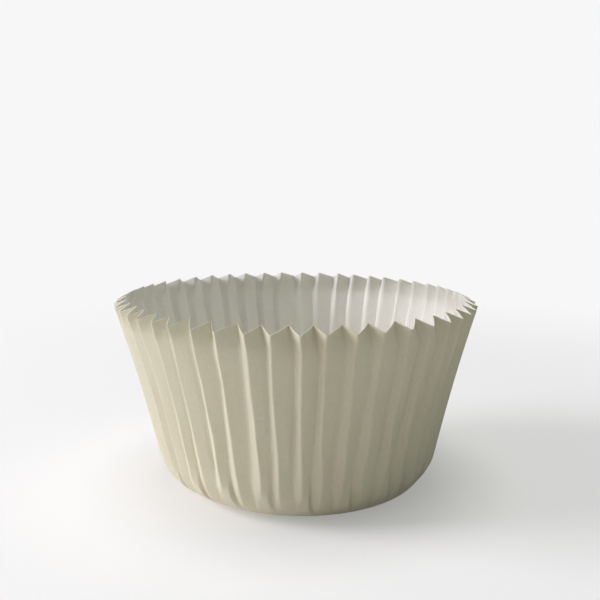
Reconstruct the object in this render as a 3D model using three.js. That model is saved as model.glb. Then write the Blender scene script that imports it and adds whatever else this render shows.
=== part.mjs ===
// Mini cupcake liner: one round sheet of paper pressed into a pleated cup.
// Millimetres and degrees, +Z up. The underside of the base is at z = 0.
// Azimuth 0 faces the front (-Y) and grows towards +X.

import * as THREE from 'three';

const { smoothstep, lerp, degToRad } = THREE.MathUtils;

// Overall size, to the outer folds
const rimRadius = 23;
const wallHeight = 23.5;
const flatRadius = 12.3;
const cornerRadius = 6;

// Wall: it keeps one lean up to the flare, then opens a little more towards the rim
const wallLean = 12.6;
const flareShare = 0.62;

// Sheet
const paperThickness = 0.1;

// Pleats
const pleatCount = 48;
const frontPleatAzimuth = 2.7;

// Depth from an outer fold to an inner fold, measured square to the wall
const footFoldDepth = 0.5;
const wallFoldDepth = 0.65;
const rimFoldDepth = 1.7;

// Shares of the wall's height where the pleats reach their wall depth, and their narrowest facet
const fullDepthShare = 0.5;
const narrowestShare = 0.8;

// Height below the rim over which the pleats open from the pressed wall to the zigzag edge
const rimZoneHeight = 2.6;

// How much higher the cut edge stands at the inner folds
const zigzagRise = 0.27;

// The pleats die out in the rounded corner, every other one lower down than its neighbours
const lowestPleatEnd = 0.1;
const highestPleatEnd = 3.4;
const pleatEndLength = 2.2;

// Shares of one pleat: the narrow steep facet at four heights, and half the blunt top of an outer fold
const endNarrowShare = 0.18;
const footNarrowShare = 0.5;
const wallNarrowShare = 0.26;
const rimNarrowShare = 0.42;
const bluntShare = 0.05;

// The wide facet bulges a little: this share of the depth is reached halfway across
const wideFacetMidShare = 0.42;

// Uneven hand of the press: the swing of the depth is a share of it, and the others are shares of one pleat
const spacingWaves = [
  { cycles: 2, swing: 0.207, start: -77 },
  { cycles: 7, swing: 0.067, start: 177 },
  { cycles: 23, swing: 0.036, start: 67 },
];
const depthWave = { cycles: 11, swing: 0.12, start: 40 };
const endWaves = [
  { cycles: pleatCount / 2, swing: 0.75, start: 90 },
  { cycles: 5, swing: 0.25, start: 190 },
];

// Hand-made unevenness: the foot is pushed to the right below a low height,
// and the rim stands a little to the left and dips to the right
const baseShift = 0.8;
const baseShiftHeight = 2;
const rimShift = 0.25;
const rimDip = 0.18;

// Fineness of the facets
const cornerSteps = 4;
const wallSteps = 4;
const rimSteps = 3;

const material = new THREE.MeshStandardMaterial({
  name: 'ivory_paper',
  color: 0xe2dcc6,
  roughness: 0.6,
  metalness: 0,
});

// Value of a wave around the cup at one pleat
function waveAt(wave, pleat) {
  const turn = (360 * pleat) / pleatCount;
  return wave.swing * Math.sin(degToRad(wave.cycles * turn + wave.start));
}

function sumOfWaves(waves, pleat) {
  return waves.reduce((sum, wave) => sum + waveAt(wave, pleat), 0);
}

// Azimuth of the outer fold of a pleat, in degrees
function outerFoldAzimuth(pleat) {
  const spacing = 360 / pleatCount;
  return frontPleatAzimuth + spacing * (pleat + sumOfWaves(spacingWaves, pleat));
}

// The wall's section through the outer folds, as rings from the flat of the base to the rim.
// Each ring has its radius, its height and the direction that points into the cup.
function sectionRings() {
  const lean = degToRad(wallLean);
  const corner = new THREE.EllipseCurve(
    flatRadius, cornerRadius, cornerRadius, cornerRadius, -Math.PI / 2, -lean,
  );
  const foot = corner.getPoint(1);
  const rim = new THREE.Vector2(rimRadius, wallHeight);
  const flareHeight = (rim.y - foot.y) * flareShare;
  const flare = new THREE.Vector2(foot.x + flareHeight * Math.tan(lean), foot.y + flareHeight);
  const wall = new THREE.QuadraticBezierCurve(foot, flare, rim);
  const rimZoneStart = 1 - rimZoneHeight / (rim.y - foot.y);

  const rings = [];
  const addRing = (curve, share) => {
    const point = curve.getPoint(share);
    const along = curve.getTangent(share);
    rings.push({ radius: point.x, height: point.y, inward: new THREE.Vector2(-along.y, along.x) });
  };
  for (let step = 0; step < cornerSteps; step += 1) {
    addRing(corner, step / cornerSteps);
  }
  for (let step = 0; step < wallSteps; step += 1) {
    addRing(wall, (rimZoneStart * step) / wallSteps);
  }
  for (let step = 0; step <= rimSteps; step += 1) {
    addRing(wall, lerp(rimZoneStart, 1, step / rimSteps));
  }
  return rings;
}

// Share of the way through the rim zone, 0 below it and 1 at the rim
function rimShare(height) {
  return THREE.MathUtils.clamp(1 - (wallHeight - height) / rimZoneHeight, 0, 1);
}

// How far a pleat has grown at one height, from 0 where it dies out in the corner to 1
function pleatGrowth(height, pleat) {
  const endShare = THREE.MathUtils.clamp(0.5 + 0.5 * sumOfWaves(endWaves, pleat), 0, 1);
  const end = lerp(lowestPleatEnd, highestPleatEnd, endShare);
  return smoothstep(height, end, end + pleatEndLength);
}

// Fold depth of one pleat at one height
function foldDepth(height, pleat) {
  const risen = smoothstep(height, 0, wallHeight * fullDepthShare);
  const pressed = lerp(footFoldDepth, wallFoldDepth, risen);
  const uneven = 1 + waveAt(depthWave, pleat);
  const deep = lerp(pressed * uneven, rimFoldDepth, smoothstep(rimShare(height), 0, 1));
  return pleatGrowth(height, pleat) * deep;
}

// Share of a pleat taken by its narrow facet at one height
function narrowShare(height, pleat) {
  const risen = smoothstep(height, 0, wallHeight * narrowestShare);
  const pressed = lerp(footNarrowShare, wallNarrowShare, risen);
  const full = lerp(pressed, rimNarrowShare, smoothstep(rimShare(height), 0, 1));
  return lerp(endNarrowShare, full, pleatGrowth(height, pleat));
}

// One pleat across, from its inner fold over the narrow facet to its outer fold
// and along the wide facet. Depth share 0 is an outer fold and 1 an inner one.
function pleatSection(height, pleat) {
  const spacing = 360 / pleatCount;
  const narrow = narrowShare(height, pleat) * spacing;
  const blunt = bluntShare * spacing;
  const fold = outerFoldAzimuth(pleat);
  const nextInner = outerFoldAzimuth(pleat + 1) - narrowShare(height, pleat + 1) * spacing;
  return [
    { azimuth: fold - narrow, depthShare: 1 },
    { azimuth: fold - blunt, depthShare: 0 },
    { azimuth: fold + blunt, depthShare: 0 },
    { azimuth: (fold + blunt + nextInner) / 2, depthShare: wideFacetMidShare },
  ];
}

// How far the cup's middle lies to the right at one height
function sideShift(height) {
  const ofBase = baseShift * (1 - smoothstep(height, 0, baseShiftHeight));
  return ofBase - (rimShift * height) / wallHeight;
}

// A point of the outer face on one ring
function sheetPoint(ring, pleat, { azimuth, depthShare }) {
  const inset = foldDepth(ring.height, pleat) * depthShare;
  const radius = ring.radius + ring.inward.x * inset;
  const angle = degToRad(azimuth);
  const rise = zigzagRise * rimShare(ring.height) * depthShare;
  const dip = (rimDip * Math.sin(angle) * ring.height) / wallHeight;
  return new THREE.Vector3(
    radius * Math.sin(angle) + sideShift(ring.height),
    -radius * Math.cos(angle),
    ring.height + ring.inward.y * inset + rise - dip,
  );
}

function ringPoints(ring) {
  const points = [];
  for (let pleat = 0; pleat < pleatCount; pleat += 1) {
    for (const place of pleatSection(ring.height, pleat)) {
      points.push(sheetPoint(ring, pleat, place));
    }
  }
  return points;
}

// Triangles of one face of the sheet: a fan on the base, then bands up the wall
function faceTriangles(ringCount, columns) {
  const triangles = [];
  const at = (ring, column) => 1 + ring * columns + (column % columns);
  for (let column = 0; column < columns; column += 1) {
    triangles.push([0, at(0, column + 1), at(0, column)]);
  }
  for (let ring = 0; ring + 1 < ringCount; ring += 1) {
    for (let column = 0; column < columns; column += 1) {
      const low = at(ring, column);
      const lowNext = at(ring, column + 1);
      const high = at(ring + 1, column);
      const highNext = at(ring + 1, column + 1);
      triangles.push([low, lowNext, high], [lowNext, highNext, high]);
    }
  }
  return triangles;
}

function faceGeometry(points, triangles) {
  const geometry = new THREE.BufferGeometry().setFromPoints(points);
  geometry.setIndex(triangles.flat());
  geometry.computeVertexNormals();
  return geometry;
}

// The inner face lies one paper thickness inside the outer one, along its normals
function innerPoints(points, triangles) {
  const normals = faceGeometry(points, triangles).getAttribute('normal');
  return points.map((point, index) => {
    const outward = new THREE.Vector3().fromBufferAttribute(normals, index);
    return point.clone().addScaledVector(outward, -paperThickness);
  });
}

// Strip along the cut edge, from the last ring of the outer face to that of the inner one
function edgeTriangles(ringCount, columns, innerStart) {
  const triangles = [];
  const last = 1 + (ringCount - 1) * columns;
  for (let column = 0; column < columns; column += 1) {
    const outer = last + column;
    const outerNext = last + ((column + 1) % columns);
    const inner = innerStart + outer;
    const innerNext = innerStart + outerNext;
    triangles.push([outer, outerNext, inner], [outerNext, innerNext, inner]);
  }
  return triangles;
}

// The whole sheet as one closed body
function linerGeometry() {
  const rings = sectionRings();
  const base = new THREE.Vector3(sideShift(0), 0, 0);
  const outer = [base, ...rings.flatMap(ringPoints)];
  const columns = (outer.length - 1) / rings.length;
  const outerFace = faceTriangles(rings.length, columns);
  const inner = innerPoints(outer, outerFace);
  const innerFace = outerFace.map(([a, b, c]) => [a, c, b].map((index) => index + outer.length));
  const edge = edgeTriangles(rings.length, columns, outer.length);
  return faceGeometry([...outer, ...inner], [...outerFace, ...innerFace, ...edge]);
}

// The cup stands centred on the origin
function centred(geometry) {
  geometry.computeBoundingBox();
  const { min, max } = geometry.boundingBox;
  return geometry.translate(-(min.x + max.x) / 2, -(min.y + max.y) / 2, -min.z);
}

const liner = new THREE.Mesh(centred(linerGeometry()), material);
liner.name = 'liner';

const group = new THREE.Group();
group.name = 'mini_cupcake_liner';
group.add(liner);

export default group;
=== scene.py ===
import math

import bmesh
import bpy
import numpy as np
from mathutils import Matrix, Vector, noise


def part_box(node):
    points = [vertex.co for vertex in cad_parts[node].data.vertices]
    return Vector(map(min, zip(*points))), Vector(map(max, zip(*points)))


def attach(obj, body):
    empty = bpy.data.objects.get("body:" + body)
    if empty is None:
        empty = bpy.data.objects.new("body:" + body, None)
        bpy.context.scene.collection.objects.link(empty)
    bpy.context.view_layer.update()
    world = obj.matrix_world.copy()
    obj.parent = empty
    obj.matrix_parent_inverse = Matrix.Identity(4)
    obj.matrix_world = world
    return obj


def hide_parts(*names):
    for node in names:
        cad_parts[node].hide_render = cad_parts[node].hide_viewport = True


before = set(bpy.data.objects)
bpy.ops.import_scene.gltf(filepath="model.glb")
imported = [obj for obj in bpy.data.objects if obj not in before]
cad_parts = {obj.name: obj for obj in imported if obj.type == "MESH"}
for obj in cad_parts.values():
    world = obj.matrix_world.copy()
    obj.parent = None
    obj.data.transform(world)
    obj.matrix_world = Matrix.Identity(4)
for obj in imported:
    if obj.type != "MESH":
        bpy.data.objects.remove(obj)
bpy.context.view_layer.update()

# A mini cupcake liner: one sheet of ivory greaseproof paper pressed into a pleated cup.
# Sizes are in millimetres, unless a comment says metres, and angles in degrees.
# Azimuth 0 faces the front (-Y) and grows towards +X.
MM = 0.001
CAD_LOW, CAD_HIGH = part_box("liner")

# Wall section through the outer folds
RIM_RADIUS = 23.0
WALL_HEIGHT = 23.5
FLAT_RADIUS = 12.3
CORNER_RADIUS = 6.0
WALL_LEAN = 12.6
FLARE_SHARE = 0.62
PAPER = 0.1

# The foot is pushed to the right below a low height, and the rim stands to the left and dips
BASE_SHIFT, BASE_SHIFT_HEIGHT = 0.8, 2.0
RIM_SHIFT, RIM_DIP = 0.25, 0.18

# Pleats: depths square to the wall, and shares of one pleat that its narrow facet takes
PLEATS = 48
SPACING = 360 / PLEATS
FRONT_PLEAT = 2.7
FOOT_DEPTH, WALL_DEPTH, RIM_DEPTH = 0.5, 0.65, 1.7
END_NARROW, FOOT_NARROW, WALL_NARROW, RIM_NARROW = 0.22, 0.5, 0.26, 0.42

# Shares of the wall's height where the wall depth and the narrowest facet are reached
FULL_DEPTH_SHARE, NARROWEST_SHARE = 0.5, 0.8

# Zone below the rim where the pleats open to the zigzag edge, and the rise of its inner folds
RIM_ZONE = 2.6
ZIGZAG_RISE = 0.27

# Lower ends of the pleats: the lowest, the highest, and the height over which each fades in.
# They are a little softer than in the solid, as the photo has them.
LOWEST_END, HIGHEST_END, END_LENGTH = 0.1, 3.2, 3.2

# How blunt an outer fold is, and how much the wide facet flattens halfway across
FOLD_BLUNTNESS = 0.08
FACET_FLATNESS = 0.1

# Waves around the cup, as (cycles, swing, start)
SPACING_WAVES = ((2, 0.207, -77), (7, 0.067, 177), (23, 0.036, 67))
DEPTH_WAVES = ((11, 0.12, 40),)
END_WAVES = ((PLEATS / 2, 0.75, 90), (5, 0.25, 190))

# Soft dents left in the paper by hand and filling, their size around and up the wall,
# and how far the folds stray sideways by a noise that starts elsewhere
DENT_DEPTH = 0.035
DENT_SIZE = (2.2, 6.0)
STRAY_REACH = 0.3
STRAY_START = Vector((9, 4, 6))

# Fineness of the sheet: columns in a narrow and a wide facet, and rings in each stretch
NARROW_COLUMNS, WIDE_COLUMNS = 6, 9
FLOOR_RINGS, CORNER_RINGS, WALL_RINGS, RIM_RINGS = 4, 20, 18, 18

# How the columns of a wide facet crowd towards its outer fold, and where the floor's rings start
WIDE_CROWDING = 1.3
FIRST_RING_SHARE = 0.25

# Paper tones, linear, and how rough each face is
OUTER_PAPER = (0.735, 0.715, 0.56)
OUTER_WARM = (0.745, 0.70, 0.54)
INNER_PAPER = (0.86, 0.845, 0.77)
CUT_EDGE = (0.70, 0.67, 0.55)
OUTER_ROUGHNESS, INNER_ROUGHNESS, EDGE_ROUGHNESS = 0.5, 0.62, 0.8
PAPER_SPECULAR = 0.42

# Noises of the paper, with scales in features to a metre
CLOUDS = {"scale": 140, "detail": 2}
FIBRES = {"scale": 4200, "detail": 4, "roughness": 0.7, "stretch": (1, 1, 0.5)}
GLOSS = {"scale": 700, "detail": 2}
GRAIN = {"scale": 5200, "detail": 3, "roughness": 0.6}
SWELL = {"scale": 900, "detail": 3}

# What the noises do: stops between the two tones, the shade of the fibres and its share,
# the swing of the roughness, and the bumps
CLOUD_STOPS = (0.45, 0.75)
FIBRE_SHADES = ((0.3, 0.9), (0.7, 1.0))
FIBRE_SHARE = 0.8
GLOSS_SWINGS = ((0.3, -0.05), (0.7, 0.08))
GRAIN_HEIGHT, SWELL_HEIGHT = 0.02, 0.06
BUMP_STRENGTH = 0.25

# Backdrop and floor, which are only seen. The radius is in metres. The floor takes shadows near
# the liner, and its lift is a glow that keeps it white there.
BACKDROP_RADIUS = 2.0
BACKDROP_DETAIL = 5
BACKDROP_GLOW = 0.93
FLOOR_ALBEDO, FLOOR_LIFT = 0.72, 0.28
FLOOR_HEIGHT = -0.02
SHADOW_REACH = (40, 160)

# Card below the floor, which is never seen: it bounces light up. Near a spot at the right its tone
# is darkened as a painted shadow of the liner, and near a spot at the front left it glows as a
# painted pool of light. Its half width is in metres.
CARD_HALF_WIDTH = 1.0
CARD_HEIGHT = -0.03
BOUNCE_NEAR, BOUNCE_FAR = (0.12, 0.12, 0.12), (0.76, 0.72, 0.66)
PAINTED_SHADE_SPOT, PAINTED_SHADE_REACH = (26, -8, 0), (8, 40)
GLOW_NEAR, GLOW_FAR = (0.50, 0.465, 0.455), (0.07, 0.068, 0.06)
PAINTED_LIGHT_SPOT, PAINTED_LIGHT_REACH = (-28, -28, 0), (8, 36)

# Room: an axis up to the left, and the tones along it, from low at the right to high at the left
ROOM_AXIS = (-0.4, 0.0, 0.6)
ROOM_TONES = ((0.3, (0.98, 1.06, 0.99)), (0.5, (0.10, 0.105, 0.10)), (0.8, (0.28, 0.285, 0.28)))

# Lights at the left and overhead, each placed by its azimuth, elevation and distance.
# Distances and sizes are in metres.
KEY_PLACE = (-86, 26, 0.5)
KEY_SIZE, KEY_POWER = 0.22, 1.65
KEY_COLOUR = (1.02, 0.985, 1.08)
TOP_PLACE = (0, 90, 0.6)
TOP_SIZE, TOP_POWER = 0.3, 1.1
TOP_COLOUR = (1.0, 0.99, 0.97)

# Camera: distance to the aim point, angle above level, the aim point itself, and the lens
VIEW_DISTANCE = 100.0
VIEW_ELEVATION = 9.33
AIM = (0.5, 0.0, 23.4)
LENS, SENSOR_WIDTH = 46.3, 36.0
CLIP_START = 5.0


def waves(rows, pleat):
    """Sum of waves around the cup at each pleat."""
    turn = 360 * pleat / PLEATS
    return sum(swing * np.sin(np.radians(cycles * turn + start)) for cycles, swing, start in rows)


def smooth(value, low, high):
    """Smooth step from 0 at low to 1 at high."""
    share = np.clip((value - low) / (high - low), 0, 1)
    return share * share * (3 - 2 * share)


def mix(first, second, share):
    return first + (second - first) * share


def section():
    """Rings from the floor's middle to the rim: radius, height, and the direction into the cup."""
    lean = math.radians(WALL_LEAN)
    floor = np.linspace(FIRST_RING_SHARE, 1, FLOOR_RINGS, endpoint=False) * FLAT_RADIUS
    turn = np.linspace(-math.pi / 2, -lean, CORNER_RINGS, endpoint=False)
    foot = np.array([
        FLAT_RADIUS + CORNER_RADIUS * math.cos(lean),
        CORNER_RADIUS * (1 - math.sin(lean)),
    ])
    rim = np.array([RIM_RADIUS, WALL_HEIGHT])
    flare_height = (rim[1] - foot[1]) * FLARE_SHARE
    flare = foot + flare_height * np.array([math.tan(lean), 1])
    zone_start = 1 - RIM_ZONE / (rim[1] - foot[1])
    share = np.concatenate([
        np.linspace(0, zone_start, WALL_RINGS, endpoint=False),
        np.linspace(zone_start, 1, RIM_RINGS),
    ])[:, None]
    wall = (1 - share) ** 2 * foot + 2 * share * (1 - share) * flare + share**2 * rim
    along = (1 - share) * (flare - foot) + share * (rim - flare)
    along /= np.linalg.norm(along, axis=1, keepdims=True)
    level = np.zeros_like(floor)
    radius = np.concatenate([floor, FLAT_RADIUS + CORNER_RADIUS * np.cos(turn), wall[:, 0]])
    height = np.concatenate([level, CORNER_RADIUS * (1 + np.sin(turn)), wall[:, 1]])
    inward_radius = np.concatenate([level, -np.cos(turn), -along[:, 1]])
    inward_height = np.concatenate([level + 1, -np.sin(turn), along[:, 0]])
    return radius, height, inward_radius, inward_height


def rim_share(height):
    """Share of the way through the rim zone, 0 below it and 1 at the rim."""
    return np.clip(1 - (WALL_HEIGHT - height) / RIM_ZONE, 0, 1)


def growth(height, pleat):
    """How far a pleat has grown at a height, from 0 where it dies out in the corner to 1."""
    end = mix(LOWEST_END, HIGHEST_END, np.clip(0.5 + 0.5 * waves(END_WAVES, pleat), 0, 1))
    return smooth(height, end, end + END_LENGTH)


def fold_depth(height, pleat):
    """Depth of a pleat at a height, from its outer to its inner fold."""
    pressed = mix(FOOT_DEPTH, WALL_DEPTH, smooth(height, 0, WALL_HEIGHT * FULL_DEPTH_SHARE))
    uneven = 1 + waves(DEPTH_WAVES, pleat)
    deep = mix(pressed * uneven, RIM_DEPTH, smooth(rim_share(height), 0, 1))
    return growth(height, pleat) * deep


def narrow_share(height, pleat):
    """Share of a pleat that its narrow facet takes at a height."""
    pressed = mix(FOOT_NARROW, WALL_NARROW, smooth(height, 0, WALL_HEIGHT * NARROWEST_SHARE))
    grown = mix(pressed, RIM_NARROW, smooth(rim_share(height), 0, 1))
    return mix(END_NARROW, grown, growth(height, pleat))


def outer_fold(pleat):
    """Azimuth of a pleat's outer fold."""
    return FRONT_PLEAT + SPACING * (pleat + waves(SPACING_WAVES, pleat))


def across():
    """Columns across one pleat: whether in the wide facet, and the share of the facet crossed."""
    narrow = np.arange(NARROW_COLUMNS) / NARROW_COLUMNS
    wide = (np.arange(WIDE_COLUMNS) / WIDE_COLUMNS) ** WIDE_CROWDING
    in_wide = np.repeat([False, True], [NARROW_COLUMNS, WIDE_COLUMNS])
    return in_wide, np.concatenate([narrow, wide])


def blunt(depth):
    """Rounds the tip of an outer fold, with 0 kept at 0 and 1 at 1."""
    full = math.sqrt(1 + FOLD_BLUNTNESS**2) - FOLD_BLUNTNESS
    return (np.sqrt(depth**2 + FOLD_BLUNTNESS**2) - FOLD_BLUNTNESS) / full


def side_shift(height):
    """How far the cup's middle lies to the right at a height."""
    of_base = BASE_SHIFT * (1 - smooth(height, 0, BASE_SHIFT_HEIGHT))
    return of_base - RIM_SHIFT * height / WALL_HEIGHT


def sheet_points():
    """Points of the outer face, one row for each ring."""
    radius, height, inward_radius, inward_height = (part[:, None, None] for part in section())
    pleat = np.arange(PLEATS)[None, :, None]
    in_wide, crossed = across()
    narrow = narrow_share(height, pleat) * SPACING
    fold, next_fold = outer_fold(pleat), outer_fold(pleat + 1)
    wide_span = next_fold - narrow_share(height, pleat + 1) * SPACING - fold
    azimuth = fold + np.where(in_wide, crossed * wide_span, (crossed - 1) * narrow)
    flattened = crossed + FACET_FLATNESS * np.sin(2 * np.pi * crossed) / (2 * np.pi)
    share = blunt(np.where(in_wide, flattened, 1 - crossed))
    inset = fold_depth(height, pleat) * share
    angle = np.radians(azimuth)
    out = radius + inward_radius * inset
    rise = ZIGZAG_RISE * rim_share(height) * share
    up = height + inward_height * inset + rise - RIM_DIP * np.sin(angle) * height / WALL_HEIGHT
    points = np.stack([out * np.sin(angle) + side_shift(height), -out * np.cos(angle), up], axis=-1)
    return points.reshape(len(radius), -1, 3)


def dented(points):
    """Adds soft dents and straying folds. Both fade out in the foot, and the rim's folds run true."""
    for point in points.reshape(-1, 3):
        fade = min(max(point[2] / CORNER_RADIUS, 0), 1)
        below_rim = min(max((WALL_HEIGHT - point[2]) / RIM_ZONE, 0), 1)
        angle = math.atan2(point[0], -point[1])
        outward = np.array([math.sin(angle), -math.cos(angle), 0])
        sideways = np.array([math.cos(angle), math.sin(angle), 0])
        spot = Vector((
            RIM_RADIUS * math.sin(angle) / DENT_SIZE[0],
            RIM_RADIUS * math.cos(angle) / DENT_SIZE[0],
            point[2] / DENT_SIZE[1],
        ))
        push = DENT_DEPTH * fade * noise.noise(spot)
        stray = STRAY_REACH * fade * below_rim * noise.noise(spot + STRAY_START)
        point += push * outward + stray * sideways
    return points


def on_the_frame(points):
    """Centres the sheet on the CAD node and turns it to metres."""
    low, high = points.min(axis=(0, 1)), points.max(axis=(0, 1))
    middle = (low + high) / 2
    points[..., :2] -= middle[:2]
    points[..., 2] -= low[2]
    return points * MM + np.array([*((CAD_LOW + CAD_HIGH) / 2)[:2], CAD_LOW[2]])


def sheet_faces(rings, columns):
    """Quads between the rings, and a fan to the floor's middle, which is the last point."""
    ring, column = np.meshgrid(np.arange(rings - 1), np.arange(columns), indexing="ij")
    after = (column + 1) % columns
    low, high = ring * columns, (ring + 1) * columns
    quads = np.stack([low + column, low + after, high + after, high + column], axis=-1)
    middle = rings * columns
    fan = [(middle, (side + 1) % columns, side) for side in range(columns)]
    return quads.reshape(-1, 4).tolist() + fan


def liner(outside, inside, cut_edge):
    """The sheet's outer face, given its thickness by a modifier."""
    points = on_the_frame(dented(sheet_points()))
    rings, columns = points.shape[:2]
    middle = points[0].mean(axis=0)
    mesh = bpy.data.meshes.new("liner_paper")
    vertices = np.vstack([points.reshape(-1, 3), middle])
    mesh.from_pydata(vertices.tolist(), [], sheet_faces(rings, columns))
    mesh.shade_smooth()
    for material in (outside, inside, cut_edge):
        mesh.materials.append(material)
    piece = bpy.data.objects.new("liner_paper", mesh)
    bpy.context.collection.objects.link(piece)
    solid = piece.modifiers.new("paper thickness", "SOLIDIFY")
    solid.thickness = PAPER * MM
    solid.offset = -1
    solid.use_quality_normals = True
    solid.material_offset = 1
    solid.material_offset_rim = 2
    return piece


def set_stops(ramp, stops):
    """Gives a colour ramp its stops, as (position, colour)."""
    elements = ramp.color_ramp.elements
    while len(elements) < len(stops):
        elements.new(0.5)
    for element, (position, colour) in zip(elements, stops):
        element.position = position
        element.color = (*colour, 1)


class Shader:
    """Small helper that adds and joins nodes of one material."""

    def __init__(self, name):
        self.material = bpy.data.materials.new(name)
        self.material.use_nodes = True
        self.nodes = self.material.node_tree.nodes
        self.links = self.material.node_tree.links
        self.surface = self.nodes["Principled BSDF"]
        self.place = self.nodes.new("ShaderNodeTexCoord").outputs["Object"]

    def noise(self, scale, detail, roughness=0.5, stretch=(1, 1, 1)):
        mapping = self.nodes.new("ShaderNodeMapping")
        mapping.inputs["Scale"].default_value = stretch
        self.links.new(self.place, mapping.inputs["Vector"])
        texture = self.nodes.new("ShaderNodeTexNoise")
        texture.inputs["Scale"].default_value = scale
        texture.inputs["Detail"].default_value = detail
        texture.inputs["Roughness"].default_value = roughness
        self.links.new(mapping.outputs["Vector"], texture.inputs["Vector"])
        return texture.outputs["Fac"]

    def ramp(self, value, *stops):
        node = self.nodes.new("ShaderNodeValToRGB")
        set_stops(node, stops)
        self.links.new(value, node.inputs["Fac"])
        return node.outputs["Color"]

    def spot(self, middle, reach):
        """Smooth share that grows from 0 near a point to 1 further out."""
        away = self.nodes.new("ShaderNodeVectorMath")
        away.operation = "DISTANCE"
        away.inputs[1].default_value = Vector(middle) * MM
        self.links.new(self.place, away.inputs[0])
        share = self.nodes.new("ShaderNodeMapRange")
        share.interpolation_type = "SMOOTHSTEP"
        share.inputs["From Min"].default_value = reach[0] * MM
        share.inputs["From Max"].default_value = reach[1] * MM
        self.links.new(away.outputs["Value"], share.inputs["Value"])
        return share.outputs["Result"]

    def multiply(self, first, second, share):
        node = self.nodes.new("ShaderNodeMix")
        node.data_type = "RGBA"
        node.blend_type = "MULTIPLY"
        node.inputs["Factor"].default_value = share
        self.links.new(first, node.inputs["A"])
        self.links.new(second, node.inputs["B"])
        return node.outputs["Result"]

    def bump(self, value, height, below=None):
        """Bumps of a height in the surface, on top of other bumps where there are any."""
        node = self.nodes.new("ShaderNodeBump")
        node.inputs["Strength"].default_value = BUMP_STRENGTH
        node.inputs["Distance"].default_value = height * MM
        self.links.new(value, node.inputs["Height"])
        if below is not None:
            self.links.new(below, node.inputs["Normal"])
        return node.outputs["Normal"]


def grey(value):
    return (value, value, value)


def paper(name, tone, warm, roughness):
    """Satin greaseproof paper: cloudy tone, fine fibres and a faint surface grain."""
    shader = Shader(name)
    clouds = shader.ramp(shader.noise(**CLOUDS), (CLOUD_STOPS[0], tone), (CLOUD_STOPS[1], warm))
    shades = [(stop, grey(shade)) for stop, shade in FIBRE_SHADES]
    fibres = shader.ramp(shader.noise(**FIBRES), *shades)
    colour = shader.multiply(clouds, fibres, FIBRE_SHARE)
    shader.links.new(colour, shader.surface.inputs["Base Color"])
    swings = [(stop, grey(roughness + swing)) for stop, swing in GLOSS_SWINGS]
    gloss = shader.ramp(shader.noise(**GLOSS), *swings)
    shader.links.new(gloss, shader.surface.inputs["Roughness"])
    grain = shader.bump(shader.noise(**GRAIN), GRAIN_HEIGHT)
    swell = shader.bump(shader.noise(**SWELL), SWELL_HEIGHT, grain)
    shader.links.new(swell, shader.surface.inputs["Normal"])
    shader.surface.inputs["Specular IOR Level"].default_value = PAPER_SPECULAR
    return shader.material


def stage_piece(name, mesh, material):
    mesh.materials.append(material)
    piece = bpy.data.objects.new(name, mesh)
    bpy.context.collection.objects.link(piece)
    return piece


def flat_square(name, half, height):
    """Level square with its half width in metres, at a height in millimetres."""
    mesh = bpy.data.meshes.new(name)
    corners = [(-half, -half), (half, -half), (half, half), (-half, half)]
    mesh.from_pydata([(x, y, height * MM) for x, y in corners], [], [(0, 1, 2, 3)])
    return mesh


def seen_only(piece):
    """A stage piece that the camera sees, and that sends no light to the liner."""
    piece.visible_diffuse = False
    piece.visible_glossy = False
    piece.visible_transmission = False
    piece.visible_shadow = False


def glowing(name, strength):
    """White that shines by itself and takes no light."""
    shader = Shader(name)
    shader.surface.inputs["Base Color"].default_value = (0, 0, 0, 1)
    shader.surface.inputs["Specular IOR Level"].default_value = 0
    shader.surface.inputs["Emission Color"].default_value = (1, 1, 1, 1)
    shader.surface.inputs["Emission Strength"].default_value = strength
    return shader


def floor_material():
    """White floor that takes soft shadows near the liner and melts into the backdrop further out."""
    shader = glowing("floor_white", BACKDROP_GLOW)
    near = shader.nodes.new("ShaderNodeBsdfDiffuse")
    near.inputs["Color"].default_value = (*grey(FLOOR_ALBEDO), 1)
    lift = shader.nodes.new("ShaderNodeEmission")
    lift.inputs["Color"].default_value = (1, 1, 1, 1)
    lift.inputs["Strength"].default_value = FLOOR_LIFT
    lifted = shader.nodes.new("ShaderNodeAddShader")
    shader.links.new(near.outputs[0], lifted.inputs[0])
    shader.links.new(lift.outputs[0], lifted.inputs[1])
    blend = shader.nodes.new("ShaderNodeMixShader")
    shader.links.new(shader.spot((0, 0, 0), SHADOW_REACH), blend.inputs["Fac"])
    shader.links.new(lifted.outputs[0], blend.inputs[1])
    shader.links.new(shader.surface.outputs[0], blend.inputs[2])
    shader.links.new(blend.outputs[0], shader.nodes["Material Output"].inputs["Surface"])
    return shader.material


def bounce_material():
    """Matt and pale, with a painted shadow at its right and a painted pool of light at its front
    left.
    """
    shader = Shader("bounce_card")
    # Painted shadow: the card's tone darkens near the spot under the liner's right side
    tone = shader.ramp(shader.spot(PAINTED_SHADE_SPOT, PAINTED_SHADE_REACH), (0, BOUNCE_NEAR), (1, BOUNCE_FAR))
    # Painted pool of light: the card glows near the spot at the front left
    glow = shader.ramp(shader.spot(PAINTED_LIGHT_SPOT, PAINTED_LIGHT_REACH), (0, GLOW_NEAR), (1, GLOW_FAR))
    shader.links.new(tone, shader.surface.inputs["Base Color"])
    shader.links.new(glow, shader.surface.inputs["Emission Color"])
    shader.surface.inputs["Emission Strength"].default_value = 1
    shader.surface.inputs["Roughness"].default_value = 1
    return shader.material


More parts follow.
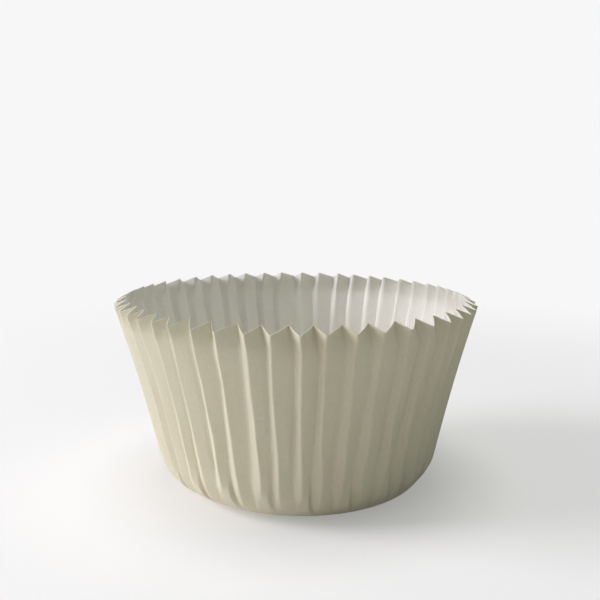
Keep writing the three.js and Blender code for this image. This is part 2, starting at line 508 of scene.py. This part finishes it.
def build_stage():
    """Floor, the unseen card below it, and a ball of backdrop around both."""
    floor = flat_square("floor", BACKDROP_RADIUS, FLOOR_HEIGHT)
    seen_only(stage_piece("floor", floor, floor_material()))
    card = flat_square("bounce_card", CARD_HALF_WIDTH, CARD_HEIGHT)
    stage_piece("bounce_card", card, bounce_material()).visible_camera = False
    dome = bpy.data.meshes.new("backdrop")
    ball = bmesh.new()
    bmesh.ops.create_icosphere(ball, subdivisions=BACKDROP_DETAIL, radius=BACKDROP_RADIUS)
    ball.to_mesh(dome)
    ball.free()
    seen_only(stage_piece("backdrop", dome, glowing("backdrop_white", BACKDROP_GLOW).material))


def face_the_liner(item, away):
    """Turns a camera or a light to look against the direction that leads away from the liner."""
    item.rotation_mode = "QUATERNION"
    item.rotation_quaternion = away.to_track_quat("Z", "Y")


def area_light(name, azimuth, elevation, distance, size, power, colour):
    """A square soft light that faces the liner."""
    light = bpy.data.lights.new(name, "AREA")
    light.size = size
    light.energy = power
    light.color = colour
    lamp = bpy.data.objects.new(name, light)
    turn, rise = math.radians(azimuth), math.radians(elevation)
    away = Vector((math.sin(turn) * math.cos(rise), -math.cos(turn) * math.cos(rise), math.sin(rise)))
    lamp.location = away * distance
    face_the_liner(lamp, away)
    bpy.context.collection.objects.link(lamp)


def light_the_stage():
    """The room's own tones, with a soft light at the left and one overhead."""
    world = bpy.data.worlds.new("studio")
    world.use_nodes = True
    nodes, links = world.node_tree.nodes, world.node_tree.links
    side = nodes.new("ShaderNodeVectorMath")
    side.operation = "DOT_PRODUCT"
    side.inputs[1].default_value = ROOM_AXIS
    links.new(nodes.new("ShaderNodeTexCoord").outputs["Generated"], side.inputs[0])
    share = nodes.new("ShaderNodeMapRange")
    share.inputs["From Min"].default_value = -1
    links.new(side.outputs["Value"], share.inputs["Value"])
    tones = nodes.new("ShaderNodeValToRGB")
    set_stops(tones, ROOM_TONES)
    links.new(share.outputs["Result"], tones.inputs["Fac"])
    links.new(tones.outputs["Color"], nodes["Background"].inputs["Color"])
    bpy.context.scene.world = world
    area_light("left_window", *KEY_PLACE, KEY_SIZE, KEY_POWER, KEY_COLOUR)
    area_light("overhead", *TOP_PLACE, TOP_SIZE, TOP_POWER, TOP_COLOUR)


def place_camera():
    camera = bpy.data.objects.new("camera", bpy.data.cameras.new("camera"))
    camera.data.lens = LENS
    camera.data.sensor_width = SENSOR_WIDTH
    camera.data.clip_start = CLIP_START * MM
    elevation = math.radians(VIEW_ELEVATION)
    away = Vector((0, -math.cos(elevation), math.sin(elevation)))
    camera.location = (Vector(AIM) + away * VIEW_DISTANCE) * MM
    face_the_liner(camera, away)
    bpy.context.collection.objects.link(camera)
    bpy.context.scene.camera = camera


bpy.context.scene.view_settings.view_transform = "Standard"
place_camera()
light_the_stage()
build_stage()

paper_sheet = liner(
    outside=paper("ivory_outside", OUTER_PAPER, OUTER_WARM, OUTER_ROUGHNESS),
    inside=paper("ivory_inside", INNER_PAPER, INNER_PAPER, INNER_ROUGHNESS),
    cut_edge=paper("cut_edge", CUT_EDGE, CUT_EDGE, EDGE_ROUGHNESS),
)
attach(paper_sheet, "root")
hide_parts("liner")
